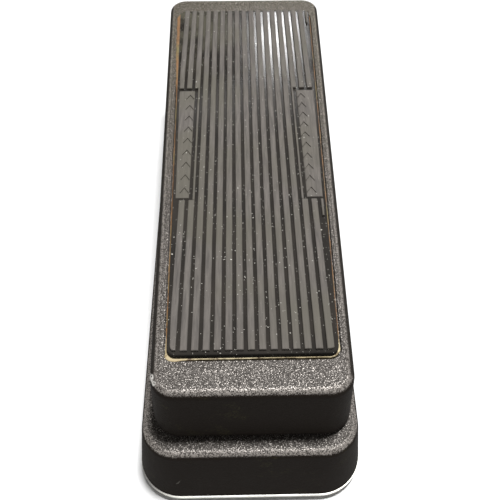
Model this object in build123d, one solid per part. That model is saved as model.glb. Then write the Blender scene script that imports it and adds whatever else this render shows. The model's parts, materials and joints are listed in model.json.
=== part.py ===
from build123d import *
import math
import os

# Foot-operated volume pedal: a die-cast rocker that tilts on a cross shaft above a
# hollow die-cast base. A rack hung from the rocker turns a potentiometer in the base.
# Millimetres. +Y is the toe end, +X the input side, +Z up, origin on the floor
# under the middle of the base. The pedal stands at rest with its heel down.

os.makedirs("parts", exist_ok=True)

# ---- driving dimensions -------------------------------------------------------------
base_length = 260.0          # heel edge to toe edge of the bottom plate
heel_half_width = 44.9       # half width of the bottom plate at its heel end
toe_half_width = 50.8        # half width of the bottom plate at its toe end
base_corner = 17.8           # plan radius of the base's corners
plate_ledge = 0.5            # bottom plate beyond the casting's foot, at its two ends
foot_height = 3.0            # rubber feet under the plate
plate_thickness = 1.2        # steel bottom plate
deck_top = 34.5              # top face of the base casting
deck_thickness = 2.8
base_wall = 3.2
side_draft = 4.0             # lean of the base's long walls between foot and deck
end_draft = 3.5              # lean of its end walls
edge_round = 3.5             # rounded outer edges of both castings

rocker_length = 247.0        # along the rocker's own top face
rocker_heel_y = -118.86      # heel edge of the rocker's top face
rocker_heel_z = 66.9
rocker_tilt = 3.77           # toe-up tilt of the rocker at rest, degrees
rocker_shift = 0.8           # the tray lies a little towards the input side of its ears
rocker_heel_half = 35.0
rocker_toe_half = 42.3
rocker_corner = 8.8
rocker_taper = 4.3           # draft of the skirt, wider at its foot, degrees
rocker_wall = 2.8
rocker_top_thickness = 3.0   # metal under the recess
skirt_depth = 46.0           # before the skirt's lower edge is cut
lug_bite = 3.2               # depth below the top face at which lugs and posts merge
skirt_gap = 2.45             # skirt edge above the deck
travel = 13.0                # heel-down to toe-down, degrees

tread_start = 14.1           # from the rocker's heel edge to the rubber
tread_length = 215.8
tread_heel_half = 30.0
tread_toe_half = 36.1
tread_shift = 1.1            # middle of the rubber from the pedal's middle plane
rib_shift = 0.6              # middle rib from the pedal's middle plane
tread_corner = 3.2
tread_proud = 2.5            # rubber sheet above the rim
recess_depth = 1.7
recess_margin = 1.2
glue_thickness = 0.2
rib_pitch = 3.93
rib_width = 2.55
rib_height = 1.1             # ribs above the sheet
tread_border = 1.2           # bare edge of the sheet round the ribs
panel_low = 87.0             # flat panels in place of the outer ribs, from the heel edge
panel_high = 158.0
panel_inner = 24.7           # from the middle of the rubber to the panel
panel_gap = 1.5              # bare sheet round a panel

pivot_z = 50.0               # cross shaft, at y = 0
shaft_radius = 4.0
bush_radius = 5.5
running_gap = 0.05
lug_radius = 9.0
base_lug_inner = 14.0
base_lug_outer = 22.0
rocker_ear_inner = 23.3
rocker_ear_outer = 30.3

gear_module = 1.0
gear_teeth = 12
gear_z = 19.7
rack_arm = 58.0              # rack pin from the cross shaft
rack_pitch_y = 61.0
rack_half_thickness = 3.0
rack_addendum = 0.7
rack_dedendum = 1.2
tooth_slack = 0.1            # taken off each flank
rack_back_y = 54.8
rack_pin_radius = 1.5

guide_screw_y = 46.0
pot_face_x = 14.0
pot_radius = 11.7

jack_y = 98.0
jack_z = 19.0
jack_pad_x = 40.7            # inner face of the wall pad
jack_flat_x = 44.8           # floor of the spot face, sunk so that the nut is flush
jack_plate = 1.5             # steel frame behind the wall
jack_bore = 3.25             # for a 6.35 mm plug
jack_sleeve_radius = 4.7
wire_radius = 0.7
wire_bend = 2.2

foot_places = [(-33.0, -114.0), (33.0, -114.0), (-38.5, 113.0), (38.5, 113.0)]
foot_radius = 8.0
foot_boss_radius = 4.5
foot_screw_radius = 1.75
deck_screw_radius = 1.5
screw_hole_radius = 1.65
bumper_radius = 8.0
bumper_height = 6.0
bumper_gap = 0.15            # between a bumper and the rocker's post at the end of travel
post_radius = 6.0
heel_bumper_y = -95.0
toe_bumper_y = 105.0

# ---- values worked out from them ----------------------------------------------------
cast_bottom = foot_height + plate_thickness
deck_bottom = deck_top - deck_thickness
half_length = base_length / 2
pitch_radius = gear_module * gear_teeth / 2
gear_y = rack_pitch_y + pitch_radius
half_travel = math.radians(travel / 2)
pin_y = rack_arm * math.cos(half_travel)
pin_z = pivot_z + rack_arm * math.sin(half_travel)
jack_plate_x = jack_pad_x - jack_plate
rack_stroke = 2 * rack_arm * math.sin(half_travel)
rack_y = (pin_y + rack_arm) / 2
tooth_pitch = math.pi * gear_module
pivot_axis = Axis((0, 0, pivot_z), (1, 0, 0))
rocker_place = Location((0, rocker_heel_y, rocker_heel_z), (rocker_tilt, 0, 0))


# ---- helpers ------------------------------------------------------------------------
def save(name, shape):
    """Write one sub-part."""
    export_step(shape, f"parts/{name}.step")


def tapered_plan(start, end, half_start, half_end, corner, shift=0.0):
    """A four-sided plan, wider at one end, with rounded corners."""
    corners = [
        (shift - half_start, start),
        (shift + half_start, start),
        (shift + half_end, end),
        (shift - half_end, end),
    ]
    face = make_face(Polyline(*corners, close=True))
    return fillet(face.vertices(), corner)


def block(x_range, y_range, z_range):
    """A box between the given limits."""
    size = [high - low for low, high in (x_range, y_range, z_range)]
    middle = [(low + high) / 2 for low, high in (x_range, y_range, z_range)]
    return Pos(*middle) * Box(*size)


def rod_x(x_range, y, z, radius):
    """A cylinder along X."""
    length = x_range[1] - x_range[0]
    place = Location(((x_range[0] + x_range[1]) / 2, y, z), (0, 90, 0))
    return place * Cylinder(radius, length)


def rod_y(x, y_range, z, radius):
    """A cylinder along Y."""
    length = y_range[1] - y_range[0]
    place = Location((x, (y_range[0] + y_range[1]) / 2, z), (90, 0, 0))
    return place * Cylinder(radius, length)


def rod_z(x, y, z_range, radius):
    """A cylinder along Z."""
    length = z_range[1] - z_range[0]
    return Pos(x, y, (z_range[0] + z_range[1]) / 2) * Cylinder(radius, length)


def tube_x(x_range, y, z, outer, inner):
    """A tube along X."""
    return rod_x(x_range, y, z, outer) - rod_x((x_range[0] - 1, x_range[1] + 1), y, z, inner)


def hexagon_x(x_range, y, z, across_flats):
    """A hexagonal prism along X."""
    plane = Plane(origin=(x_range[0], y, z), x_dir=(0, 1, 0), z_dir=(1, 0, 0))
    sketch = plane * RegularPolygon(across_flats / math.sqrt(3), 6)
    return extrude(sketch, x_range[1] - x_range[0], dir=(1, 0, 0))


def hexagon_z(x, y, z_range, across_flats):
    """A hexagonal prism along Z."""
    sketch = Pos(x, y, z_range[0]) * RegularPolygon(across_flats / math.sqrt(3), 6)
    return extrude(sketch, z_range[1] - z_range[0], dir=(0, 0, 1))


def both_sides(shape, shift=0.0):
    """A shape and its mirror image across the pedal's middle plane, both moved along X."""
    return [Pos(shift, 0, 0) * piece for piece in (shape, mirror(shape, Plane.YZ))]


def bent_wire(points, bend_radius, wire_radius):
    """A wire through the given points, with round bends."""
    path = FilletPolyline(*points, radius=bend_radius)
    start = Plane(origin=path @ 0, z_dir=path % 0)
    return sweep(start * Circle(wire_radius), path)


# ---- base ---------------------------------------------------------------------------
def base_section(z, wall=0.0):
    """Plan of the casting at a height, shrunk by a wall thickness."""
    share = (z - cast_bottom) / (deck_top - cast_bottom)
    lean = side_draft * share + wall
    end = half_length - plate_ledge - end_draft * share - wall
    plan = tapered_plan(-end, end, heel_half_width - lean, toe_half_width - lean, base_corner - lean)
    return Pos(0, 0, z) * plan


def make_base_housing():
    """Hollow casting, open below, with lugs, bosses and jack pads."""
    outer = loft([base_section(cast_bottom), base_section(deck_top)])
    outer = fillet(outer.faces().sort_by(Axis.Z)[-1].edges(), edge_round)
    hollow = loft([base_section(cast_bottom, base_wall), base_section(deck_bottom, base_wall)])
    housing = outer - hollow
    for x, y in foot_places:
        housing += rod_z(x, y, (cast_bottom, deck_bottom + 1), foot_boss_radius)
    lug = block((base_lug_inner, base_lug_outer), (-lug_radius, lug_radius), (deck_bottom + 1, pivot_z))
    lug += rod_x((base_lug_inner, base_lug_outer), 0, pivot_z, lug_radius)
    for piece in both_sides(lug):
        housing += piece
    housing += block((-base_lug_outer, base_lug_outer), (-2, 2), (deck_bottom + 1, deck_top + 4))
    pad = rod_x((jack_pad_x, jack_flat_x + 1), jack_y, jack_z, 10.5)
    for piece in both_sides(pad):
        housing += piece
    spot_face = rod_x((jack_flat_x, jack_flat_x + 10), jack_y, jack_z, 9.5)
    jack_hole = rod_x((jack_pad_x - 2, jack_flat_x + 2), jack_y, jack_z, jack_sleeve_radius + 0.1)
    for piece in both_sides(spot_face) + both_sides(jack_hole):
        housing -= piece
    housing -= rod_x((-base_lug_outer - 1, base_lug_outer + 1), 0, pivot_z, shaft_radius + 0.02)
    housing -= block((-4.6, 4.6), (53.2, 63.4), (deck_bottom - 1, deck_top + 1))
    for x, y in foot_places:
        housing -= rod_z(x, y, (cast_bottom - 1, cast_bottom + 18), foot_screw_radius)
    for x, y in deck_screw_places:
        housing -= rod_z(x, y, (deck_bottom - 1, deck_top + 1), screw_hole_radius)
    return housing


def make_bottom_plate():
    """Flat steel plate that closes the base."""
    plan = tapered_plan(-half_length, half_length, heel_half_width, toe_half_width, base_corner)
    plate = extrude(Pos(0, 0, foot_height) * plan, plate_thickness)
    for x, y in foot_places:
        plate -= rod_z(x, y, (0, cast_bottom + 1), 2.0)
    return plate


def make_rubber_feet():
    """Four round feet with a recess for the screw head."""
    feet = []
    for x, y in foot_places:
        foot = rod_z(x, y, (0, foot_height), foot_radius)
        foot = chamfer(foot.edges().group_by(Axis.Z)[0], 0.6)
        foot -= rod_z(x, y, (-1, 2.2), 4.2)
        foot -= rod_z(x, y, (-1, foot_height + 1), 2.0)
        feet.append(foot)
    return Compound(children=feet)


def make_foot_screws():
    """Pan-head screws through feet and plate into the casting's bosses."""
    screws = []
    for x, y in foot_places:
        screw = rod_z(x, y, (0.5, 2.2), 3.6)
        screw = fillet(screw.edges().group_by(Axis.Z)[0], 0.8)
        screw += rod_z(x, y, (2.2, cast_bottom + 14), foot_screw_radius)
        screw -= block((x - 2.4, x + 2.4), (y - 0.4, y + 0.4), (0, 1.3))
        screw -= block((x - 0.4, x + 0.4), (y - 2.4, y + 2.4), (0, 1.3))
        screws.append(screw)
    return Compound(children=screws)


# ---- rocker -------------------------------------------------------------------------
def rocker_plan(inset=0.0):
    """Plan of the rocker's top face in its own plane, shrunk by inset."""
    return tapered_plan(
        inset,
        rocker_length - inset,
        rocker_heel_half - inset,
        rocker_toe_half - inset,
        rocker_corner - inset,
        rocker_shift,
    )


def tread_plan(margin=0.0):
    """Plan of the rubber, grown by margin."""
    return tapered_plan(
        tread_start - margin,
        tread_start + tread_length + margin,
        tread_heel_half + margin,
        tread_toe_half + margin,
        tread_corner + margin,
        tread_shift,
    )


def top_height(y):
    """Height of the rocker's top face above a point, at rest."""
    return rocker_heel_z + (y - rocker_heel_y) * math.tan(math.radians(rocker_tilt))


def make_rocker():
    """Inverted tray with a recess for the rubber, ears for the shaft and lugs for the rack."""
    shell = extrude(rocker_plan(), -skirt_depth, taper=-rocker_taper)
    shell = fillet(shell.faces().sort_by(Axis.Z)[-1].edges(), edge_round)
    inside_top = recess_depth + rocker_top_thickness
    hollow = extrude(
        Pos(0, 0, -inside_top) * rocker_plan(rocker_wall), -skirt_depth, taper=-rocker_taper
    )
    shell -= hollow
    shell -= extrude(Pos(0, 0, -recess_depth) * tread_plan(recess_margin), recess_depth + 1)
    rocker = rocker_place * shell
    skirt_foot = deck_top + skirt_gap
    rise = half_length * 1.5 * math.tan(math.radians(travel))
    below = make_face(
        Plane.YZ
        * Polyline(
            (-200, skirt_foot),
            (0, skirt_foot),
            (half_length * 1.5, skirt_foot + rise),
            (half_length * 1.5, -20),
            (-200, -20),
            close=True,
        )
    )
    rocker -= extrude(below, 80, both=True)
    ear = block(
        (rocker_ear_inner, rocker_ear_outer), (-lug_radius, lug_radius), (pivot_z, top_height(0) - lug_bite)
    )
    ear += rod_x((rocker_ear_inner, rocker_ear_outer), 0, pivot_z, lug_radius)
    rack_lug = block((3.4, 8.4), (pin_y - 5, pin_y + 5), (pin_z, top_height(pin_y) - lug_bite))
    rack_lug += rod_x((3.4, 8.4), pin_y, pin_z, 5.0)
    for piece in both_sides(ear) + both_sides(rack_lug):
        rocker += piece
    for y in (-60.0, 92.0):
        rib_top = top_height(y) - 3.5
        rib_span = (rocker_shift - 34.5, rocker_shift + 34.5)
        rocker += block(rib_span, (y - 1.25, y + 1.25), (rib_top - 7, rib_top))
    post_foot = deck_top + bumper_height + bumper_gap
    heel_post_top = top_height(heel_bumper_y) - lug_bite
    rocker += rod_z(0, heel_bumper_y, (post_foot, heel_post_top), post_radius)
    toe_post = rod_z(0, toe_bumper_y, (post_foot, post_foot + 12.6), post_radius)
    rocker += toe_post.rotate(pivot_axis, travel)
    rocker -= rod_x((-rocker_ear_outer - 1, rocker_ear_outer + 1), 0, pivot_z, bush_radius)
    rocker -= rod_x((-12, 12), pin_y, pin_z, rack_pin_radius + 0.02)
    return rocker


def make_rubber_tread():
    """Rubber sheet with parallel ribs and two flat side panels, all cut off at the sheet's taper."""
    floor = -recess_depth + glue_thickness
    tread = extrude(Pos(0, 0, floor) * tread_plan(), tread_proud - floor)
    tread = fillet(tread.edges().group_by(Axis.Z)[-1], 0.5)
    level = (tread_proud - 0.2, tread_proud + rib_height)
    field = extrude(Pos(0, 0, level[0]) * tread_plan(-tread_border), level[1] - level[0])
    panel_span = (panel_low, panel_high)
    opening = (panel_low - panel_gap, panel_high + panel_gap)
    side_reach = (panel_inner, tread_toe_half + 5)
    opening_reach = (panel_inner - panel_gap, tread_toe_half + 5)
    panels = both_sides(block(side_reach, panel_span, level), rib_shift)
    gap_level = (level[0] - 1, level[1] + 1)
    openings = both_sides(block(opening_reach, opening, gap_level), rib_shift)
    for index in range(-10, 10):
        middle = rib_shift + index * rib_pitch
        rib = block((middle - rib_width / 2, middle + rib_width / 2), (0, rocker_length), level)
        for cut in openings:
            rib -= cut
        tread += rib & field
    for panel in panels:
        tread += panel & field
    return rocker_place * tread


def make_tread_adhesive():
    """Film of contact cement under the rubber, squeezed out a little round its edge."""
    film = extrude(Pos(0, 0, -recess_depth) * tread_plan(0.5), glue_thickness)
    return rocker_place * film


# ---- cross shaft --------------------------------------------------------------------
def make_pivot_bolt():
    """Cross shaft: a hex-head bolt through the lugs and ears."""
    bolt = rod_x((-33.8, 31.3), 0, pivot_z, shaft_radius)
    head = hexagon_x((31.3, 34.8), 0, pivot_z, 12.0)
    return bolt + head


def make_pivot_nut():
    """Lock nut that sets how stiffly the rocker moves."""
    return hexagon_x((-34.6, -31.3), 0, pivot_z, 12.0) - rod_x((-36, -30), 0, pivot_z, shaft_radius)


def make_pivot_washers():
    """A washer under the head and one under the nut."""
    washer = tube_x((rocker_ear_outer + 0.2, 31.3), 0, pivot_z, 7.5, shaft_radius)
    return Compound(children=both_sides(washer))


def make_pivot_bushes():
    """Flanged nylon bushes in the rocker's ears."""
    bush = rod_x((rocker_ear_inner, rocker_ear_outer), 0, pivot_z, bush_radius)
    bush += rod_x((base_lug_outer + 0.4, rocker_ear_inner), 0, pivot_z, 7.5)
    bush -= rod_x((20, 40), 0, pivot_z, shaft_radius + running_gap)
    return Compound(children=both_sides(bush))


# ---- rack and pinion ----------------------------------------------------------------
def make_gear_rack():
    """Vertical rack with a slotted eye for the rocker's pin."""
    foot_z = gear_z - tooth_pitch / 2
    top_tooth = math.ceil((rack_stroke + 3) / tooth_pitch)
    tip = rack_pitch_y + rack_addendum
    root = rack_pitch_y - rack_dedendum
    slope = math.tan(math.radians(20))
    half_pitch = tooth_pitch / 4 - tooth_slack
    half_tip = half_pitch - rack_addendum * slope
    half_root = half_pitch + rack_dedendum * slope
    outline = [(rack_back_y, foot_z), (root, foot_z)]
    for index in range(top_tooth + 1):
        z = gear_z + index * tooth_pitch
        outline += [(root, z - half_root), (tip, z - half_tip), (tip, z + half_tip), (root, z + half_root)]
    outline += [(root, pin_z), (rack_back_y, pin_z)]
    face = make_face(Plane.YZ * Polyline(*outline, close=True))
    rack = extrude(face, rack_half_thickness, both=True)
    rack += rod_x((-rack_half_thickness, rack_half_thickness), rack_y, pin_z, 4.2)
    slot_radius = rack_pin_radius + 0.08
    slot_half = (rack_arm - pin_y) / 2 + 0.1
    for y in (rack_y - slot_half, rack_y + slot_half):
        rack -= rod_x((-5, 5), y, pin_z, slot_radius)
    rack -= block((-5, 5), (rack_y - slot_half, rack_y + slot_half), (pin_z - slot_radius, pin_z + slot_radius))
    return rack


def make_rack_pin():
    """Pin through the rocker's lugs and the rack's eye."""
    pin = rod_x((-10.4, 10.4), pin_y, pin_z, rack_pin_radius)
    for x in (-9.4, 9.4):
        pin -= tube_x((x - 0.3, x + 0.3), pin_y, pin_z, 3.0, 1.1)
    return pin


def make_rack_pin_clips():
    """Spring clips in the pin's grooves."""
    clip = tube_x((9.15, 9.65), pin_y, pin_z, 3.0, 1.1)
    clip -= block((8, 11), (pin_y - 0.9, pin_y + 0.9), (pin_z - 4, pin_z))
    return Compound(children=both_sides(clip))


def pinion_profile():
    """Involute teeth on a short hub, with a tooth space facing the rack."""
    base_radius = pitch_radius * math.cos(math.radians(20))
    tip_radius = pitch_radius + gear_module * 0.95
    root_radius = pitch_radius - gear_module
    involute = math.tan(math.radians(20)) - math.radians(20)
    half_angle = math.pi / (2 * gear_teeth) - tooth_slack / pitch_radius + involute
    steps = 5
    flank = []
    for step in range(steps + 1):
        radius = base_radius + (tip_radius - base_radius) * step / steps
        pressure = math.acos(base_radius / radius)
        flank.append((radius, half_angle - (math.tan(pressure) - pressure)))
    flank.insert(0, (root_radius, half_angle))
    points = []
    for tooth in range(gear_teeth):
        centre = math.pi + (tooth + 0.5) * 2 * math.pi / gear_teeth
        for radius, angle in flank:
            points.append((radius * math.cos(centre - angle), radius * math.sin(centre - angle)))
        for radius, angle in reversed(flank):
            points.append((radius * math.cos(centre + angle), radius * math.sin(centre + angle)))
    plane = Plane(origin=(0, gear_y, gear_z), x_dir=(0, 1, 0), z_dir=(1, 0, 0))
    return make_face(plane * Polyline(*points, close=True))


def make_pinion_gear():
    """Pinion with a hub for its set screw."""
    pinion = extrude(pinion_profile(), 4, both=True)
    pinion += rod_x((-9, -4), gear_y, gear_z, 5.5)
    pinion -= rod_x((-10, 6), gear_y, gear_z, 3.0)
    pinion -= rod_y(-6.5, (gear_y, gear_y + 7), gear_z, 1.25)
    return pinion


def make_pinion_set_screw():
    """Set screw that holds the pinion on the potentiometer's shaft."""
    return rod_y(-6.5, (gear_y + 3.05, gear_y + 5.3), gear_z, 1.25)


def make_rack_guide():
    """Nylon shoe that keeps the rack against the pinion."""
    guide = block((-5.6, 5.6), (50.4, 54.7), (22, deck_bottom))
    for side in (-1, 1):
        lip = sorted((side * 3.15, side * 5.6))
        guide += block(lip, (54.0, 58.5), (22, deck_bottom))
    guide += block((-5.6, 5.6), (41.5, 50.4), (deck_bottom - 3, deck_bottom))
    guide -= rod_z(0, guide_screw_y, (20, 40), screw_hole_radius)
    return guide


def make_guide_spring():
    """Bent leaf that presses the shoe forward."""
    spring = block((-4, 4), (41.5, 50.4), (deck_bottom - 3.4, deck_bottom - 3))
    spring += block((-4, 4), (50.0, 50.4), (23.0, deck_bottom - 3))
    spring -= rod_z(0, guide_screw_y, (20, 40), screw_hole_radius)
    return spring


# ---- potentiometer ------------------------------------------------------------------
bracket_screw_places = [(8.7, 59.5), (8.7, 75.0)]
guide_screw_place = (0.0, guide_screw_y)
deck_screw_places = bracket_screw_places + [guide_screw_place]


def make_pot_bracket():
    """Steel angle that hangs the potentiometer from the deck."""
    bracket = block((12.5, pot_face_x), (gear_y - 11, gear_y + 11), (9, deck_bottom))
    bracket += block((5.6, 12.6), (gear_y - 11, gear_y + 11), (deck_bottom - 1.5, deck_bottom))
    bracket -= rod_x((10, 16), gear_y, gear_z, 4.75)
    for x, y in bracket_screw_places:
        bracket -= rod_z(x, y, (20, 40), screw_hole_radius)
    return bracket


def make_deck_screws():
    """Screws from the top of the deck that hold the bracket and the guide."""
    screws = []
    for x, y in deck_screw_places:
        screw = rod_z(x, y, (deck_top, deck_top + 1.7), 2.8)
        screw = fillet(screw.edges().group_by(Axis.Z)[-1], 0.6)
        screw += rod_z(x, y, (deck_bottom - 6.2, deck_top), deck_screw_radius)
        screw -= block((x - 2, x + 2), (y - 0.35, y + 0.35), (deck_top + 0.9, deck_top + 3))
        screws.append(screw)
    return Compound(children=screws)


def deck_nut(x, y, top):
    """A hex nut under the deck."""
    nut = hexagon_z(x, y, (top - 2.2, top), 5.2)
    return nut - rod_z(x, y, (20, 40), deck_screw_radius)


def make_deck_nuts():
    """Hex nuts on the deck screws."""
    nuts = []
    for x, y in bracket_screw_places:
        nuts.append(deck_nut(x, y, deck_bottom - 1.5))
    nuts.append(deck_nut(*guide_screw_place, deck_bottom - 3.4))
    return Compound(children=nuts)


def make_pot_bushing():
    """Die-cast front with the threaded neck."""
    front = rod_x((pot_face_x, pot_face_x + 1.2), gear_y, gear_z, pot_radius - 0.5)
    front += rod_x((6.5, pot_face_x), gear_y, gear_z, 4.7)
    return front - rod_x((5, 16), gear_y, gear_z, 3.0 + running_gap)


def make_pot_nut():
    """Nut that clamps the potentiometer in its bracket."""
    return hexagon_x((9.6, 12.0), gear_y, gear_z, 13.0) - rod_x((8, 14), gear_y, gear_z, 4.7)


def make_pot_washer():
    """Lock washer under the nut."""
    return tube_x((12.0, 12.5), gear_y, gear_z, 6.8, 4.7)


def make_pot_wafer():
    """Phenolic disc with the resistance track."""
    wafer = rod_x((15.2, 16.6), gear_y, gear_z, pot_radius - 0.7)
    wafer += block((15.2, 16.6), (gear_y, gear_y + 14.5), (gear_z - 8, gear_z + 8))
    wafer -= rod_x((14, 18), gear_y, gear_z, 3.6)
    return wafer


def make_pot_terminals():
    """Three solder lugs on the wafer."""
    lugs = []
    for z in (-5.0, 0.0, 5.0):
        lug = block((16.6, 17.0), (gear_y + 12.0, gear_y + 18.5), (gear_z + z - 1.2, gear_z + z + 1.2))
        lug -= rod_x((16, 18), gear_y + 16.8, gear_z + z, 0.6)
        lugs.append(lug)
    return Compound(children=lugs)


def make_pot_shaft():
    """Shaft with the wiper carrier at its inner end."""
    shaft = rod_x((-9.5, 19.5), gear_y, gear_z, 3.0)
    shaft = chamfer(shaft.edges().group_by(Axis.X)[0], 0.5)
    return shaft + rod_x((17.4, 19.5), gear_y, gear_z, 8.5)


def make_pot_wiper():
    """Contact arm on the wiper carrier."""
    wiper = block((16.9, 17.4), (gear_y - 8.6, gear_y - 4.0), (gear_z - 2.2, gear_z + 2.2))
    return wiper


def make_pot_case():
    """Steel can over the wafer."""
    case = rod_x((pot_face_x + 1.2, 23.5), gear_y, gear_z, pot_radius)
    case = fillet(case.edges().group_by(Axis.X)[-1], 1.0)
    case -= rod_x((10, 23.0), gear_y, gear_z, pot_radius - 0.5)
    case -= block((10, 17.1), (gear_y, gear_y + 20), (gear_z - 8.1, gear_z + 8.1))
    return case


# ---- jacks --------------------------------------------------------------------------
def jack_frame():
    """Threaded sleeve staked to a steel frame, on the input side."""
    frame = block((jack_plate_x, jack_pad_x), (jack_y - 8, jack_y + 8), (jack_z - 9, jack_z + 9))
    frame += block((jack_pad_x - 14, jack_pad_x), (jack_y - 5, jack_y + 5), (jack_z - 9, jack_z - 7.8))
    frame += rod_x((jack_plate_x, jack_flat_x + 2.9), jack_y, jack_z, jack_sleeve_radius)
    return frame - rod_x((jack_pad_x - 3, jack_flat_x + 5), jack_y, jack_z, jack_bore)


def jack_insulator():
    """Phenolic block between the frame and the tip contact."""
    return block((jack_pad_x - 14, jack_pad_x - 5), (jack_y - 4, jack_y + 4), (jack_z - 7.8, jack_z - 5.2))


def jack_contact():
    """Tip contact: a leaf that bends up to the plug's tip."""
    level = jack_z - 5.2
    leaf = block((jack_pad_x - 22, jack_pad_x - 5), (jack_y - 2.5, jack_y + 2.5), (level, level + 0.4))
    leaf += block((jack_pad_x - 22.4, jack_pad_x - 22), (jack_y - 2.5, jack_y + 2.5), (level, jack_z - 2.6))
    leaf += block((jack_pad_x - 24.4, jack_pad_x - 22), (jack_y - 2.5, jack_y + 2.5), (jack_z - 3, jack_z - 2.6))
    return leaf


def jack_washer():
    """Flat washer on the spot face."""
    return tube_x((jack_flat_x, jack_flat_x + 0.5), jack_y, jack_z, 7.6, jack_sleeve_radius)


def jack_nut():
    """Hex nut outside the wall."""
    nut = hexagon_x((jack_flat_x + 0.5, jack_flat_x + 2.6), jack_y, jack_z, 12.5)
    return nut - rod_x((jack_flat_x - 1, jack_flat_x + 5), jack_y, jack_z, jack_sleeve_radius)


def save_jacks():
    """Write both jacks: the input on +X and its mirror image, the output, on -X."""
    pieces = {
        "frame": jack_frame(),
        "insulator": jack_insulator(),
        "tip_contact": jack_contact(),
        "washer": jack_washer(),
        "nut": jack_nut(),
    }
    for name, shape in pieces.items():
        near, far = both_sides(shape)
        save(f"input_jack_{name}", near)
        save(f"output_jack_{name}", far)


# ---- wiring -------------------------------------------------------------------------
def make_wires():
    """Insulated hook-up wires between the jacks and the potentiometer."""
    lug_x = 16.8
    lug_y = gear_y + 18.8
    turn_y = gear_y + 23.5
    contact_x = jack_pad_x - 17.0
    contact_y = jack_y - 2.55
    contact_z = jack_z - 5.0
    ground_y = jack_y + 6.2
    wires = {}
    for name, side, rise in (("input_wire", 1, 5.0), ("output_wire", -1, 0.0)):
        level = gear_z + rise
        route = [
            (lug_x, lug_y, level),
            (lug_x, turn_y, level),
            (side * contact_x, turn_y, level),
            (side * contact_x, turn_y, contact_z),
            (side * contact_x, contact_y, contact_z),
        ]
        wires[name] = bent_wire(route, wire_bend, wire_radius)
    ground_route = [
        (lug_x, lug_y, gear_z - 5),
        (lug_x, ground_y, gear_z - 5),
        (0.05 - jack_plate_x, ground_y, gear_z - 5),
    ]
    wires["ground_wire"] = bent_wire(ground_route, 3 * wire_bend, wire_radius)
    return wires


# ---- bumpers ------------------------------------------------------------------------
def make_bumper(y):
    """Round rubber stop on the deck."""
    bumper = rod_z(0, y, (deck_top, deck_top + bumper_height), bumper_radius)
    return fillet(bumper.edges().group_by(Axis.Z)[-1], 1.2)


# ---- write everything ---------------------------------------------------------------
save("base_housing", make_base_housing())
save("bottom_plate", make_bottom_plate())
save("rubber_feet", make_rubber_feet())
save("foot_screws", make_foot_screws())
save("heel_bumper", make_bumper(heel_bumper_y))
save("toe_bumper", make_bumper(toe_bumper_y))
save("rocker", make_rocker())
save("rubber_tread", make_rubber_tread())
save("tread_adhesive", make_tread_adhesive())
save("pivot_bolt", make_pivot_bolt())
save("pivot_nut", make_pivot_nut())
save("pivot_washers", make_pivot_washers())
save("pivot_bushes", make_pivot_bushes())
save("gear_rack", make_gear_rack())
save("rack_pin", make_rack_pin())
save("rack_pin_clips", make_rack_pin_clips())
save("pinion_gear", make_pinion_gear())
save("pinion_set_screw", make_pinion_set_screw())
save("rack_guide", make_rack_guide())
save("guide_spring", make_guide_spring())
save("pot_bracket", make_pot_bracket())
save("deck_screws", make_deck_screws())
save("deck_nuts", make_deck_nuts())
save("pot_bushing", make_pot_bushing())
save("pot_nut", make_pot_nut())
save("pot_washer", make_pot_washer())
save("pot_wafer", make_pot_wafer())
save("pot_terminals", make_pot_terminals())
save("pot_shaft", make_pot_shaft())
save("pot_wiper", make_pot_wiper())
save("pot_case", make_pot_case())
save_jacks()
for wire_name, wire_shape in make_wires().items():
    save(wire_name, wire_shape)
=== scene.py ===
import json
import math

import bmesh
import bpy
from mathutils import Matrix, Vector, noise


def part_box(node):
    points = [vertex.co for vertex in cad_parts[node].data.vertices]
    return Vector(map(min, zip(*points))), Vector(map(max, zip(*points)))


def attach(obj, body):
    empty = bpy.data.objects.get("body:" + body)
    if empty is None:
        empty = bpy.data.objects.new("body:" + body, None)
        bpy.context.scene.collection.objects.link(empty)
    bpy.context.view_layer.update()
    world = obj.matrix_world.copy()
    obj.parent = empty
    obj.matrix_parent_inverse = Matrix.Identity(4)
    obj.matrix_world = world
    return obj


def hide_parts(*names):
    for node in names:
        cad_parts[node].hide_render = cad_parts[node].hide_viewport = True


# A foot volume pedal: textured black castings, a worn ribbed rubber tread with old cement
# round it, and the steel, nylon and brass works under the rocker.
# Lengths in the shape code are millimetres in the rocker's own plane, turned into metres
# in the shared frame by ROCKER_PLACE.

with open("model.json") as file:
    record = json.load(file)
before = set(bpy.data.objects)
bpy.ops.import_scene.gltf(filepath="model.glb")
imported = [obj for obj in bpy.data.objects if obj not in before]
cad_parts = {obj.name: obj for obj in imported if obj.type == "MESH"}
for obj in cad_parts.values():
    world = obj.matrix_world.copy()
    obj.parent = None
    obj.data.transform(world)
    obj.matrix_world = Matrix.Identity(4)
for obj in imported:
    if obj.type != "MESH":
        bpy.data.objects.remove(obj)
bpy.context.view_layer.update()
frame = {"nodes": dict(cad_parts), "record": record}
nodes = frame["nodes"]

MM = 0.001

# ---- driving dimensions, as in the CAD model (mm) -------------------------------------
RECESS_DEPTH = 1.7
CEMENT_FILM = 0.2            # cement under the rubber
SHEET_TOP = 2.5              # above the rocker's top
RIB_HEIGHT = 1.1
RIB_PITCH = 3.93
RIB_SHIFT = -0.5             # middle rib from the rubber's middle
RIB_WIDTH = 2.55
TREAD_HEEL_HALF = 30.0
TREAD_TOE_HALF = 36.1
TREAD_CORNER = 3.2
TREAD_BORDER = 1.2
PANEL_LOW = 72.8             # along the rubber, from its heel end
PANEL_HIGH = 143.8
PANEL_INNER = 24.7
PANEL_GAP = 1.5
PANEL_DROP = 0.6             # panel below the ribs' tops
CHEVRON_X = 26.8             # chevrons' middle, from the middle rib
CHEVRON_WIDTH = 3.7
CHEVRON_HEIGHT = 4.0
CHEVRON_STROKE = 0.9
CHEVRON_ROOT = 0.8           # below the ribs' tops
CHEVRON_TOP = 0.12           # below the ribs' tops
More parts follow.
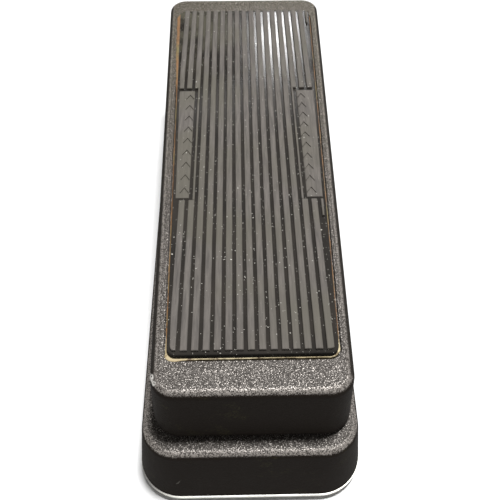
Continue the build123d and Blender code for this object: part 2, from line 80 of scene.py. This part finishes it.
CHEVRONS = {-1: 9, 1: 10}    # left and right panel
RIB_EDGE = 0.38              # rounded edge of a rib
RIB_CROWN = 0.03
SHEET_EDGE = 0.55

# ---- wear on the castings: place and radius, or two ends and half width (mm) ----------
CHIPS = (((-34.0, -111.2, 65.6), 1.9), ((-32.6, -113.2, 66.0), 1.3), ((-34.8, -109.8, 64.6), 1.5))
SCRATCHES = (
    ((-31.4, -127.7, 33.9), (-28.2, -128.0, 29.4), 0.8),
    ((-28.8, -128.9, 14.3), (-24.6, -128.5, 21.3), 0.8),
)

# ---- camera ---------------------------------------------------------------------------
CAMERA_LENS = 43.41          # mm
SENSOR_WIDTH = 36
CAMERA_PLACE = (-0.00207, -0.21571, 0.24994)
CAMERA_DOWN = 48.55          # degrees below the horizon
CAMERA_YAW = 1.09
CAMERA_ROLL = -0.02


# ---- the rocker's plane, from the cement film in the frame ----------------------------
def rocker_plane():
    """Place of the rubber's heel end on the rocker: X across, Y towards the toe, Z up off the top."""
    film = nodes["tread_adhesive"].data
    largest = max(film.polygons, key=lambda face: face.area)
    normal = largest.normal.copy()
    if normal.z < 0:
        normal.negate()
    across = Vector((1, 0, 0))
    along = normal.cross(across).normalized()
    tread = [v.co for v in nodes["rubber_tread"].data.vertices]
    heel = min(co.dot(along) for co in tread)
    toe = max(co.dot(along) for co in tread)
    floor = min(co.dot(normal) for co in tread)
    low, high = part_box("rubber_tread")
    middle = (low.x + high.x) / 2
    level = floor + (RECESS_DEPTH - CEMENT_FILM) * MM
    origin = across * middle + along * heel + normal * level
    turn = Matrix((across, along, normal)).transposed().to_4x4()
    return Matrix.Translation(origin) @ turn, (toe - heel) / MM


ROCKER_PLACE, TREAD_LENGTH = rocker_plane()


# ---- mesh helpers ---------------------------------------------------------------------
def finish_mesh(name, bm, place, material, body, smooth_angle=35):
    """Turn a bmesh in millimetres into a piece that rides on a body."""
    bm.transform(Matrix.Scale(MM, 4))
    bm.transform(place)
    bmesh.ops.remove_doubles(bm, verts=bm.verts, dist=1e-7)
    bmesh.ops.recalc_face_normals(bm, faces=bm.faces)
    mesh = bpy.data.meshes.new(name)
    bm.to_mesh(mesh)
    bm.free()
    piece = bpy.data.objects.new(name, mesh)
    bpy.context.scene.collection.objects.link(piece)
    mesh.materials.append(material)
    mesh.shade_smooth()
    mesh.set_sharp_from_angle(angle=math.radians(smooth_angle))
    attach(piece, body)
    return piece


def rounded_quad(length, half_start, half_end, corner, margin=0.0, steps=6):
    """Outline of the tapered rubber as (x, s) points, grown by margin."""
    lean = (half_end - half_start) / length
    start, end = -margin, length + margin
    quad = [
        (-(half_start - margin * lean + margin), start),
        (half_start - margin * lean + margin, start),
        (half_end + margin * lean + margin, end),
        (-(half_end + margin * lean + margin), end),
    ]
    radius = max(corner + margin, 0.3)
    outline = []
    for index in range(4):
        here = Vector(quad[index])
        back = (Vector(quad[index - 1]) - here).normalized()
        ahead = (Vector(quad[(index + 1) % 4]) - here).normalized()
        half = back.angle(ahead) / 2
        centre = here + (back + ahead).normalized() * (radius / math.sin(half))
        first = here + back * (radius / math.tan(half)) - centre
        last = here + ahead * (radius / math.tan(half)) - centre
        begin = math.atan2(first.y, first.x)
        turn = math.atan2(last.y, last.x) - begin
        turn = (turn + math.pi) % (2 * math.pi) - math.pi
        for step in range(steps + 1):
            angle = begin + turn * step / steps
            outline.append(centre + Vector((math.cos(angle), math.sin(angle))) * radius)
    return outline


def ring(bm, outline, level):
    """One loop of vertices at a height."""
    return [bm.verts.new((x, y, level)) for x, y in outline]


def skin(bm, loops, closed_low=True, closed_high=True):
    """Join loops of equal length into a closed solid."""
    count = len(loops[0])
    for low, high in zip(loops, loops[1:]):
        for index in range(count):
            after = (index + 1) % count
            bm.faces.new((low[index], low[after], high[after], high[index]))
    if closed_low:
        bm.faces.new(list(reversed(loops[0])))
    if closed_high:
        bm.faces.new(loops[-1])


def span_at(outline, station):
    """Lowest and highest x of a convex outline at a station along it."""
    hits = []
    count = len(outline)
    for index in range(count):
        a, b = outline[index], outline[(index + 1) % count]
        low, high = min(a.y, b.y), max(a.y, b.y)
        if low <= station <= high and high > low:
            hits.append(a.x + (b.x - a.x) * (station - a.y) / (b.y - a.y))
    if len(hits) < 2:
        return None
    return min(hits), max(hits)


def wobble(x, y, size, amount, seed=0.0):
    """Smooth unevenness."""
    return amount * noise.noise(Vector((x / size, y / size, seed)))


def bar(bm, field, x_low, x_high, s_low, s_high, base, top, edge, unevenness=0.05):
    """A rib cut off by the field's outline, with rounded upper edges and ends."""
    ends = (0.0, 0.06, 0.14, 0.26, 0.42, 0.7, 1.2, 2.0, 3.2)
    stations = [s_low + step for step in ends]
    count = max(2, int((s_high - s_low - 6.4) / 3.0))
    stations += [s_low + 3.2 + (s_high - s_low - 6.4) * step / count for step in range(1, count)]
    stations += [s_high - step for step in reversed(ends)]
    quarter = [math.radians(90 * step / 4) for step in range(5)]
    loops = []
    for station in stations:
        span = span_at(field, station)
        if span is None:
            continue
        low, high = max(x_low, span[0]), min(x_high, span[1])
        if high - low < 2 * edge + 0.1:
            continue
        away = min(station - s_low, s_high - station)
        drop = edge - math.sqrt(max(edge**2 - max(edge - away, 0) ** 2, 0)) if away < edge else 0.0
        low += wobble(low, station, 9.0, unevenness, 1.3)
        high += wobble(high, station, 9.0, unevenness, 4.1)
        height = top - drop + wobble(low, station, 14.0, unevenness, 8.8)
        rounding = [(edge * (1 - math.cos(a)), height - edge * (1 - math.sin(a))) for a in quarter]
        profile = [(low, base)]
        profile += [(low + inset, level) for inset, level in rounding]
        profile += [((low + high) / 2, height + RIB_CROWN)]
        profile += [(high - inset, level) for inset, level in reversed(rounding)]
        profile += [(high, base)]
        loops.append([bm.verts.new((x, station, z)) for x, z in profile])
    if len(loops) > 1:
        skin(bm, loops)


# ---- materials ------------------------------------------------------------------------
def new_material(name):
    """An empty node material with its shader and output."""
    material = bpy.data.materials.new(name)
    material.use_nodes = True
    tree = material.node_tree
    shader = tree.nodes["Principled BSDF"]
    return material, tree, shader


def add(tree, kind, **values):
    """A node with some of its inputs or properties set."""
    node = tree.nodes.new(kind)
    for key, value in values.items():
        if key in node.inputs:
            node.inputs[key].default_value = value
        else:
            setattr(node, key, value)
    return node


def coordinates(tree, scale=(1, 1, 1)):
    """Object coordinates, in metres, stretched by scale."""
    place = tree.nodes.new("ShaderNodeTexCoord")
    mapping = tree.nodes.new("ShaderNodeMapping")
    mapping.inputs["Scale"].default_value = scale
    tree.links.new(place.outputs["Object"], mapping.inputs["Vector"])
    return mapping.outputs["Vector"]


def noise_at(tree, vector, size_mm, detail=3.0, roughness=0.5):
    """Noise whose features are about size_mm."""
    node = add(tree, "ShaderNodeTexNoise", Scale=1.0 / (size_mm * MM))
    node.inputs["Detail"].default_value = detail
    node.inputs["Roughness"].default_value = roughness
    tree.links.new(vector, node.inputs["Vector"])
    return node.outputs["Fac"]


def ramp(tree, value, stops):
    """A colour ramp from a list of (position, colour)."""
    node = tree.nodes.new("ShaderNodeValToRGB")
    elements = node.color_ramp.elements
    while len(elements) < len(stops):
        elements.new(0.5)
    for element, (position, colour) in zip(elements, stops):
        element.position = position
        element.color = (*colour, 1.0) if len(colour) == 3 else colour
    tree.links.new(value, node.inputs["Fac"])
    return node.outputs["Color"]


def grey(level):
    """A neutral colour."""
    return (level, level, level)


def mask(tree, value, low, high):
    """0 below low, 1 above high."""
    node = tree.nodes.new("ShaderNodeMapRange")
    node.interpolation_type = "SMOOTHSTEP"
    node.inputs["From Min"].default_value = low
    node.inputs["From Max"].default_value = high
    tree.links.new(value, node.inputs["Value"])
    return node.outputs["Result"]


def math_node(tree, operation, first, second):
    """A maths node on two values or sockets."""
    node = tree.nodes.new("ShaderNodeMath")
    node.operation = operation
    for index, value in enumerate((first, second)):
        if isinstance(value, (int, float)):
            node.inputs[index].default_value = value
        else:
            tree.links.new(value, node.inputs[index])
    return node.outputs["Value"]


def mix_colour(tree, factor, first, second, blend="MIX"):
    """Mix two colours or sockets."""
    node = tree.nodes.new("ShaderNodeMix")
    node.data_type = "RGBA"
    node.blend_type = blend
    inputs = {"Factor": node.inputs[0], "A": node.inputs[6], "B": node.inputs[7]}
    for key, value in (("Factor", factor), ("A", first), ("B", second)):
        if isinstance(value, (int, float)):
            inputs[key].default_value = value
        elif isinstance(value, tuple):
            inputs[key].default_value = (*value, 1.0)
        else:
            tree.links.new(value, inputs[key])
    return node.outputs[2]


def bump(tree, shader, height, strength, distance_mm):
    """Bump the shader's normal by a height."""
    node = tree.nodes.new("ShaderNodeBump")
    node.inputs["Strength"].default_value = strength
    node.inputs["Distance"].default_value = distance_mm * MM
    tree.links.new(height, node.inputs["Height"])
    tree.links.new(node.outputs["Normal"], shader.inputs["Normal"])


def split_xyz(tree, vector):
    """X, Y and Z outputs of a vector."""
    node = add(tree, "ShaderNodeSeparateXYZ")
    tree.links.new(vector, node.inputs["Vector"])
    return node.outputs


def times(tree, first, second):
    """Product of two values or sockets."""
    return math_node(tree, "MULTIPLY", first, second)


def surface_normal(tree):
    """X, Y and Z of the surface normal on the object at rest."""
    return split_xyz(tree, tree.nodes.new("ShaderNodeTexCoord").outputs["Normal"])


def facing_up(tree, low, high):
    """1 where the normal's upright part is above high, 0 where it is below low."""
    return mask(tree, surface_normal(tree)["Z"], low, high)


def near_point(tree, place, centre, radius):
    """1 near a point given in millimetres, fading to 0 at radius."""
    node = add(tree, "ShaderNodeVectorMath", operation="DISTANCE")
    tree.links.new(place, node.inputs[0])
    node.inputs[1].default_value = Vector(centre) * MM
    return mask(tree, node.outputs["Value"], radius * MM, radius * 0.55 * MM)


def near_line(tree, place, start, end, width):
    """1 along a scratch between two points given in millimetres."""
    first, last = Vector(start) * MM, Vector(end) * MM
    along = (last - first).normalized()
    offset = add(tree, "ShaderNodeVectorMath", operation="SUBTRACT")
    tree.links.new(place, offset.inputs[0])
    offset.inputs[1].default_value = first
    reach = add(tree, "ShaderNodeVectorMath", operation="DOT_PRODUCT")
    tree.links.new(offset.outputs["Vector"], reach.inputs[0])
    reach.inputs[1].default_value = along
    inside = math_node(tree, "MINIMUM", reach.outputs["Value"], (last - first).length)
    inside = math_node(tree, "MAXIMUM", inside, 0.0)
    spot = add(tree, "ShaderNodeVectorMath", operation="SCALE")
    spot.inputs[0].default_value = along
    tree.links.new(inside, spot.inputs["Scale"])
    gap = add(tree, "ShaderNodeVectorMath", operation="DISTANCE")
    tree.links.new(offset.outputs["Vector"], gap.inputs[0])
    tree.links.new(spot.outputs["Vector"], gap.inputs[1])
    return mask(tree, gap.outputs["Value"], width * MM, width * 0.4 * MM)


def worn_and_highlight_edge(tree):
    """1 on rounded upper edges, 0 on flat tops and walls; worn paint and a painted highlight go there.
    """
    return times(tree, facing_up(tree, 0.52, 0.72), facing_up(tree, 0.985, 0.955))


def shaded_outer_edge(tree, place):
    """1 on the rocker's rounded edges along its sides and toe, which face away from the overhead light;
    painted shade goes there.
    """
    normal = surface_normal(tree)
    tilted = mask(tree, normal["Z"], 0.93, 0.80)
    not_heel = mask(tree, normal["Y"], -0.35, -0.12)
    on_rocker = mask(tree, split_xyz(tree, place)["Z"], 0.052, 0.056)
    return times(tree, times(tree, tilted, not_heel), on_rocker)


def textured_paint():
    """Black crinkle paint whose crests are worn and dusty where they face up, with painted light and
    shade: upward faces and rounded edges are coloured lighter, walls and the rocker's side and toe edges
    darker.
    """
    material, tree, shader = new_material("textured_black_paint")
    place = coordinates(tree)
    crinkle = noise_at(tree, place, 0.85, 3.0, 0.65)
    fine = noise_at(tree, place, 0.34, 2.0, 0.5)
    broad = noise_at(tree, place, 14.0, 4.0, 0.65)
    up = facing_up(tree, 0.5, 0.9)
    crest = mask(tree, crinkle, 0.44, 0.62)
    edge = worn_and_highlight_edge(tree)
    coarse = math_node(tree, "ADD", fine, times(tree, edge, 0.07))
    sparkle = mask(tree, coarse, 0.57, 0.67)
    # Dust settles on crests facing up, and this mask also paints light on them: upward crests are
    # coloured lighter.
    crest_dust_and_light = times(tree, crest, up)
    glint = times(tree, sparkle, facing_up(tree, 0.42, 0.75))
    smudge = times(tree, mask(tree, broad, 0.56, 0.68), crest)
    # Painted light and shade: the same paint gets a far darker colour on walls than on upward faces, as
    # the overhead light falls; the olive smudges on the walls are dirt.
    wall = mix_colour(tree, smudge, (0.011, 0.0075, 0.005), (0.026, 0.023, 0.010))
    pits = mix_colour(tree, up, wall, (0.046, 0.040, 0.035))
    dust_and_light_tone = mix_colour(tree, crest_dust_and_light, pits, (0.100, 0.090, 0.081))
    # Worn paint and painted highlight: crests on the rounded upper edges are coloured much lighter.
    worn_and_highlight = times(tree, edge, crest)
    dust_and_light_tone = mix_colour(tree, worn_and_highlight, dust_and_light_tone, (0.25, 0.225, 0.205))
    toewards = mask(tree, split_xyz(tree, place)["Y"], -0.06, 0.12)
    olive = mix_colour(tree, 1.0, dust_and_light_tone, (1.05, 1.02, 0.84), "MULTIPLY")
    dust_and_light_tone = mix_colour(tree, toewards, dust_and_light_tone, olive)
    bright = mix_colour(tree, glint, dust_and_light_tone, (0.50, 0.465, 0.43))
    # Painted shade: the rocker's side and toe edges are coloured near black and lose their flecks.
    outer_shade = shaded_outer_edge(tree, place)
    bright = mix_colour(tree, outer_shade, bright, (0.016, 0.013, 0.010))
    fleck = times(tree, math_node(tree, "SUBTRACT", 1.0, outer_shade), glint)
    tree.links.new(fleck, shader.inputs["Metallic"])
    flakes = mask(tree, noise_at(tree, place, 1.3, 3.0, 0.6), 0.46, 0.52)
    breaks = mask(tree, fine, 0.42, 0.5)
    for centre, radius in CHIPS:
        chip = times(tree, near_point(tree, place, centre, radius), flakes)
        bright = mix_colour(tree, chip, bright, (0.66, 0.64, 0.60))
    for start, end, width in SCRATCHES:
        scratch = times(tree, near_line(tree, place, start, end, width), breaks)
        bright = mix_colour(tree, scratch, bright, (0.42, 0.41, 0.36))
    tree.links.new(bright, shader.inputs["Base Color"])
    polish = ramp(tree, crinkle, [(0.3, grey(0.56)), (0.7, grey(0.42))])
    rough = mix_colour(tree, up, grey(0.9), polish)
    tree.links.new(rough, shader.inputs["Roughness"])
    shader.inputs["Specular IOR Level"].default_value = 0.15
    height = math_node(tree, "ADD", crinkle, times(tree, fine, 0.35))
    bump(tree, shader, height, 0.6, 0.3)
    return material


def toe_left_patch(tree, place):
    """1 on the left half of the toe end, where the grooves are coloured lighter."""
    spot = split_xyz(tree, place)
    left = mask(tree, spot["X"], 0.004, -0.020)
    return times(tree, left, mask(tree, spot["Y"], 0.045, 0.095))


def rib_rubber():
    """Worn grey rubber: the ribs' tops are matt and dusty."""
    material, tree, shader = new_material("tread_rubber_ribs")
    place = coordinates(tree)
    streaks = noise_at(tree, coordinates(tree, (1, 0.05, 1)), 1.0, 5.0, 0.7)
    broad = noise_at(tree, place, 38.0, 3.0, 0.55)
    specks = noise_at(tree, place, 0.8, 1.0, 0.5)
    tone = ramp(tree, streaks, [(0.32, (0.066, 0.058, 0.052)), (0.68, (0.150, 0.135, 0.121))])
    patches = times(tree, mask(tree, broad, 0.42, 0.66), 0.6)
    warm = mix_colour(tree, patches, tone, (0.096, 0.089, 0.066))
    speckled = mix_colour(tree, mask(tree, specks, 0.74, 0.8), warm, (0.7, 0.68, 0.62))
    tree.links.new(speckled, shader.inputs["Base Color"])
    rough = ramp(tree, streaks, [(0.3, grey(0.72)), (0.7, grey(0.86))])
    tree.links.new(rough, shader.inputs["Roughness"])
    grain = noise_at(tree, place, 0.5, 3.0, 0.6)
    bump(tree, shader, grain, 0.25, 0.08)
    return material


def sheet_rubber():
    """The sheet between the ribs: dark, smooth and glossy, with dust specks and lighter patches at the
    left of the toe end.
    """
    material, tree, shader = new_material("tread_rubber_sheet")
    place = coordinates(tree)
    broad = noise_at(tree, place, 20.0, 3.0, 0.55)
    specks = noise_at(tree, place, 0.7, 1.0, 0.5)
    tone = ramp(tree, broad, [(0.35, (0.010, 0.008, 0.006)), (0.65, (0.022, 0.018, 0.014))])
    # Lighter, more olive patches in the grooves at the left of the toe end.
    film = times(tree, toe_left_patch(tree, place), mask(tree, broad, 0.36, 0.56))
    tone = mix_colour(tree, film, tone, (0.072, 0.067, 0.048))
    speckled = mix_colour(tree, mask(tree, specks, 0.70, 0.76), tone, (0.5, 0.48, 0.43))
    tree.links.new(speckled, shader.inputs["Base Color"])
    polished = ramp(tree, broad, [(0.3, grey(0.16)), (0.7, grey(0.27))])
    at_toe = mask(tree, split_xyz(tree, place)["Y"], 0.0, 0.06)
    rough = mix_colour(tree, at_toe, grey(0.95), polished)
    tree.links.new(rough, shader.inputs["Roughness"])
    grain = noise_at(tree, place, 1.8, 3.0, 0.6)
    bump(tree, shader, grain, 0.1, 0.08)
    return material


def old_cement():
    """Aged contact cement: orange-brown along the sides, cream along the heel edge."""
    material, tree, shader = new_material("aged_cement")
    place = coordinates(tree)
    patches = noise_at(tree, place, 16.0, 2.0, 0.5)
    fine = noise_at(tree, place, 1.5, 4.0, 0.6)
    browns = [(0.35, (0.17, 0.085, 0.036)), (0.5, (0.27, 0.145, 0.065)), (0.66, (0.20, 0.165, 0.075))]
    side = ramp(tree, patches, browns)
    heel = ramp(tree, patches, [(0.35, (0.46, 0.36, 0.20)), (0.65, (0.64, 0.55, 0.34))])
    at_heel = mask(tree, split_xyz(tree, place)["Y"], -0.094, -0.102)
    tone = mix_colour(tree, at_heel, side, heel)
    dirty = mix_colour(tree, mask(tree, fine, 0.5, 0.68), tone, (0.12, 0.075, 0.04))
    tree.links.new(dirty, shader.inputs["Base Color"])
    shader.inputs["Roughness"].default_value = 0.55
    bump(tree, shader, fine, 0.6, 0.25)
    return material


def metal(name, colour, rough, scratch=0.12, tarnish=(0.35, 0.30, 0.24)):
    """Plated or turned metal with fine scratches and some tarnish."""
    material, tree, shader = new_material(name)
    place = coordinates(tree)
    lines = noise_at(tree, coordinates(tree, (1, 0.08, 1)), 0.6, 4.0, 0.6)
    patches = noise_at(tree, place, 7.0, 4.0, 0.6)
    tone = mix_colour(tree, mask(tree, patches, 0.55, 0.75), colour, tarnish)
    tree.links.new(tone, shader.inputs["Base Color"])
    level = ramp(tree, lines, [(0.3, grey(rough)), (0.7, grey(min(rough + scratch * 2, 0.9)))])
    tree.links.new(level, shader.inputs["Roughness"])
    shader.inputs["Metallic"].default_value = 1.0
    bump(tree, shader, lines, scratch, 0.03)
    return material


def plastic(name, colour, rough, spread=0.12, grain_mm=1.2, depth=0.2):
    """Moulded plastic or rubber with a faint mottle and grain."""
    material, tree, shader = new_material(name)
    place = coordinates(tree)
    mottle = noise_at(tree, place, 6.0, 3.0, 0.6)
    low = tuple(channel * (1 - spread) for channel in colour)
    high = tuple(min(channel * (1 + spread), 1.0) for channel in colour)
    tree.links.new(ramp(tree, mottle, [(0.35, low), (0.65, high)]), shader.inputs["Base Color"])
    level = ramp(tree, mottle, [(0.3, grey(rough)), (0.7, grey(min(rough + 0.12, 0.95)))])
    tree.links.new(level, shader.inputs["Roughness"])
    bump(tree, shader, noise_at(tree, place, grain_mm, 3.0, 0.55), depth, 0.06)
    return material


PAINT = textured_paint()
RIBS = rib_rubber()
SHEET = sheet_rubber()
CEMENT = old_cement()
ZINC = metal("zinc_plated_steel", (0.62, 0.61, 0.57), 0.32)
STEEL = metal("screw_steel", (0.48, 0.47, 0.45), 0.38)
NICKEL = metal("nickel_plate", (0.68, 0.65, 0.58), 0.18, 0.08)
DIE_CAST = metal("die_cast_zinc", (0.50, 0.50, 0.49), 0.42)
BRASS = metal("contact_brass", (0.70, 0.52, 0.25), 0.28, 0.1, (0.32, 0.20, 0.09))
BLACK_RUBBER = plastic("black_rubber", (0.022, 0.021, 0.020), 0.62)
NYLON = plastic("nylon", (0.66, 0.62, 0.50), 0.42, 0.06)
PHENOLIC = plastic("phenolic", (0.20, 0.095, 0.035), 0.38, 0.2)
RED = plastic("red_insulation", (0.42, 0.03, 0.02), 0.4)
WHITE = plastic("white_insulation", (0.62, 0.58, 0.48), 0.42)
BLACK = plastic("black_insulation", (0.02, 0.02, 0.02), 0.4)

NODE_MATERIALS = {
    "textured_casting": PAINT,
    "tread_rubber": RIBS,
    "black_rubber": BLACK_RUBBER,
    "old_glue": CEMENT,
    "plated_steel": ZINC,
    "screw_steel": STEEL,
    "nickel_plate": NICKEL,
    "pot_metal": STEEL,
    "cast_zinc": DIE_CAST,
    "nylon": NYLON,
    "phenolic": PHENOLIC,
    "contact_brass": BRASS,
    "red_wire": RED,
    "white_wire": WHITE,
    "black_wire": BLACK,
}


def dress_nodes():
    """Give every CAD node the material of its slot."""
    for part in frame["record"]["subparts"]:
        node = nodes[part["node"]]
        node.data.materials.clear()
        node.data.materials.append(NODE_MATERIALS[part["material_slot"]])


dress_nodes()


# ---- rubber tread ---------------------------------------------------------------------
def tread_outline(margin=0.0):
    """The rubber's outline, grown by margin."""
    return rounded_quad(TREAD_LENGTH, TREAD_HEEL_HALF, TREAD_TOE_HALF, TREAD_CORNER, margin)


def build_sheet():
    """The rubber sheet under the ribs."""
    bm = bmesh.new()
    floor = -RECESS_DEPTH + CEMENT_FILM
    loops = [ring(bm, tread_outline(-0.25), floor), ring(bm, tread_outline(0.0), floor + 0.3)]
    for step in range(5):
        angle = math.radians(90 * step / 4)
        inset = SHEET_EDGE * (1 - math.cos(angle))
        height = SHEET_TOP - SHEET_EDGE * (1 - math.sin(angle))
        loops.append(ring(bm, tread_outline(-inset), height))
    skin(bm, loops)
    return finish_mesh("tread_sheet", bm, ROCKER_PLACE, SHEET, "rocker")


def chevron(bm, x, s, base, top):
    """A small raised chevron that points to the toe."""
    half = CHEVRON_WIDTH / 2
    foot = s - CHEVRON_HEIGHT / 2
    tip = s + CHEVRON_HEIGHT / 2
    arm = CHEVRON_STROKE * 1.2
    points = [
        (x - half, foot),
        (x, tip - CHEVRON_STROKE),
        (x + half, foot),
        (x + half, foot + arm),
        (x, tip),
        (x - half, foot + arm),
    ]
    low = [bm.verts.new((a, b, base)) for a, b in points]
    high = [bm.verts.new((a, b, top)) for a, b in points]
    count = len(points)
    for index in range(count):
        after = (index + 1) % count
        bm.faces.new((low[index], low[after], high[after], high[index]))
    for loop in (low, high):
        bm.faces.new((loop[0], loop[1], loop[4], loop[5]))
        bm.faces.new((loop[1], loop[2], loop[3], loop[4]))


def build_ribs():
    """Parallel ribs cut off by the taper, with a flat panel of raised chevrons on each side."""
    bm = bmesh.new()
    field = tread_outline(-TREAD_BORDER)
    base = SHEET_TOP - 0.15
    top = SHEET_TOP + RIB_HEIGHT
    start, end = TREAD_BORDER, TREAD_LENGTH - TREAD_BORDER
    cut_inner = PANEL_INNER - PANEL_GAP
    for index in range(-10, 11):
        middle = index * RIB_PITCH
        low, high = middle - RIB_WIDTH / 2, middle + RIB_WIDTH / 2
        if abs(middle) + RIB_WIDTH / 2 <= cut_inner:
            bar(bm, field, low + RIB_SHIFT, high + RIB_SHIFT, start, end, base, top, RIB_EDGE)
            continue
        for piece_low, piece_high in ((start, PANEL_LOW - PANEL_GAP), (PANEL_HIGH + PANEL_GAP, end)):
            bar(bm, field, low + RIB_SHIFT, high + RIB_SHIFT, piece_low, piece_high, base, top, RIB_EDGE)
        if abs(middle) < cut_inner + RIB_WIDTH / 2:
            strip = (max(low, -cut_inner) + RIB_SHIFT, min(high, cut_inner) + RIB_SHIFT)
            bar(bm, field, *strip, PANEL_LOW - PANEL_GAP, PANEL_HIGH + PANEL_GAP, base, top, 0.25)
    for side in (-1, 1):
        span = sorted((side * PANEL_INNER + RIB_SHIFT, side * (TREAD_TOE_HALF + 5)))
        bar(bm, field, *span, PANEL_LOW, PANEL_HIGH, base, top - PANEL_DROP, RIB_EDGE, 0.03)
        for step in range(CHEVRONS[side]):
            station = PANEL_LOW + (PANEL_HIGH - PANEL_LOW) * (step + 0.6) / (CHEVRONS[side] + 0.2)
            chevron(bm, side * CHEVRON_X + RIB_SHIFT, station, top - CHEVRON_ROOT, top - CHEVRON_TOP)
    return finish_mesh("tread_ribs", bm, ROCKER_PLACE, RIBS, "rocker")


def cement_size(x, s):
    """How far the cement spreads over the rim, and how high it stands on the rubber's wall."""
    uneven = wobble(x, s, 5.0, 0.5, 2.0) + wobble(x, s, 1.6, 0.25, 5.0)
    if x < 0 and s > 2:
        wide = min(max((s - 140) / 40, 0.0), 1.0)
        return 0.7 + 1.1 * wide + uneven * (0.5 + 0.5 * wide), 0.45 + uneven * 0.3
    if s <= 2:
        left = min(max(-x / 30, 0.0), 1.0)
        blob = max(0.0, 1.0 - math.hypot(x + 29, s) / 5)
        return 0.5 + 0.25 * left + 1.0 * blob + uneven * 0.5, 0.1 + 0.25 * blob + uneven * 0.2
    return 0.6 + uneven * 0.5, 0.25 + uneven * 0.3


def build_cement():
    """Uneven old cement squeezed out round the rubber and smeared over the rim."""
    bm = bmesh.new()
    path = []
    outline = tread_outline()
    for index, point in enumerate(outline):
        after = outline[(index + 1) % len(outline)]
        count = max(1, int((after - point).length / 1.2))
        for step in range(count):
            path.append(point.lerp(after, step / count))
    loops = []
    count = len(path)
    for index, point in enumerate(path):
        ahead = (path[(index + 1) % count] - path[index - 1]).normalized()
        out = Vector((ahead.y, -ahead.x))
        spread, climb = cement_size(point.x, point.y)
        spread, climb = max(spread, 0.3), max(climb, 0.05)
        profile = (
            (-0.3, -1.3),
            (-0.3, climb - 0.1),
            (0.05, climb),
            (0.35 * spread, 0.22 + climb * 0.45),
            (0.7 * spread, 0.2),
            (0.92 * spread, 0.12),
            (spread, -0.06),
            (0.5 * spread, -0.3),
            (0.2, -1.3),
        )
        loop = []
        for reach, height in profile:
            spot = point + out * reach
            loop.append(bm.verts.new((spot.x, spot.y, height)))
        loops.append(loop)
    loops.append(loops[0])
    skin(bm, loops, False, False)
    return finish_mesh("cement_bead", bm, ROCKER_PLACE, CEMENT, "rocker", 60)


sheet = build_sheet()
ribs = build_ribs()
bead = build_cement()
for piece in (sheet, ribs):
    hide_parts("rubber_tread")


# ---- floor, light and camera ----------------------------------------------------------
def build_stage():
    """A plain pale floor."""
    bpy.ops.mesh.primitive_plane_add(size=6)
    floor = bpy.context.object
    floor.name = "floor"
    material, _, shader = new_material("pale_floor")
    shader.inputs["Base Color"].default_value = (0.86, 0.86, 0.86, 1)
    shader.inputs["Roughness"].default_value = 0.9
    shader.inputs["Specular IOR Level"].default_value = 0.0
    floor.data.materials.append(material)


def area_light(name, place, target, size, power):
    """A soft square lamp aimed at a point."""
    data = bpy.data.lights.new(name, "AREA")
    data.shape = "RECTANGLE"
    data.size, data.size_y = size
    data.energy = power
    lamp = bpy.data.objects.new(name, data)
    bpy.context.scene.collection.objects.link(lamp)
    lamp.location = place
    direction = Vector(target) - Vector(place)
    lamp.rotation_euler = direction.to_track_quat("-Z", "Y").to_euler()


def build_lights():
    """Soft overhead light, with a lamp past the toe end that glances off the rubber."""
    world = bpy.context.scene.world or bpy.data.worlds.new("studio")
    bpy.context.scene.world = world
    world.use_nodes = True
    background = world.node_tree.nodes["Background"]
    background.inputs["Color"].default_value = (1.0, 0.99, 0.97, 1)
    background.inputs["Strength"].default_value = 0.2
    area_light("overhead", (0.14, 0.0, 1.25), (0, 0, 0), (0.15, 0.15), 19)
    area_light("past_toe", (0.118, 0.80, 0.55), (0.02, 0.09, 0.08), (0.12, 0.12), 1.1)


def build_camera():
    """The main view, from above the heel end."""
    data = bpy.data.cameras.new("camera")
    data.lens = CAMERA_LENS
    data.sensor_width = SENSOR_WIDTH
    data.clip_start = 0.01
    camera = bpy.data.objects.new("camera", data)
    bpy.context.scene.collection.objects.link(camera)
    down, yaw, roll = (math.radians(v) for v in (CAMERA_DOWN, CAMERA_YAW, CAMERA_ROLL))
    ahead = Vector((math.sin(yaw) * math.cos(down), math.cos(yaw) * math.cos(down), -math.sin(down)))
    right = Vector((math.cos(yaw), -math.sin(yaw), 0))
    low = ahead.cross(right)
    right_rolled = right * math.cos(roll) + low * math.sin(roll)
    up = right * math.sin(roll) - low * math.cos(roll)
    turn = Matrix((right_rolled, up, -ahead)).transposed().to_4x4()
    camera.matrix_world = Matrix.Translation(CAMERA_PLACE) @ turn
    bpy.context.scene.camera = camera


build_stage()
build_lights()
build_camera()
bpy.context.scene.view_settings.view_transform = "Standard"
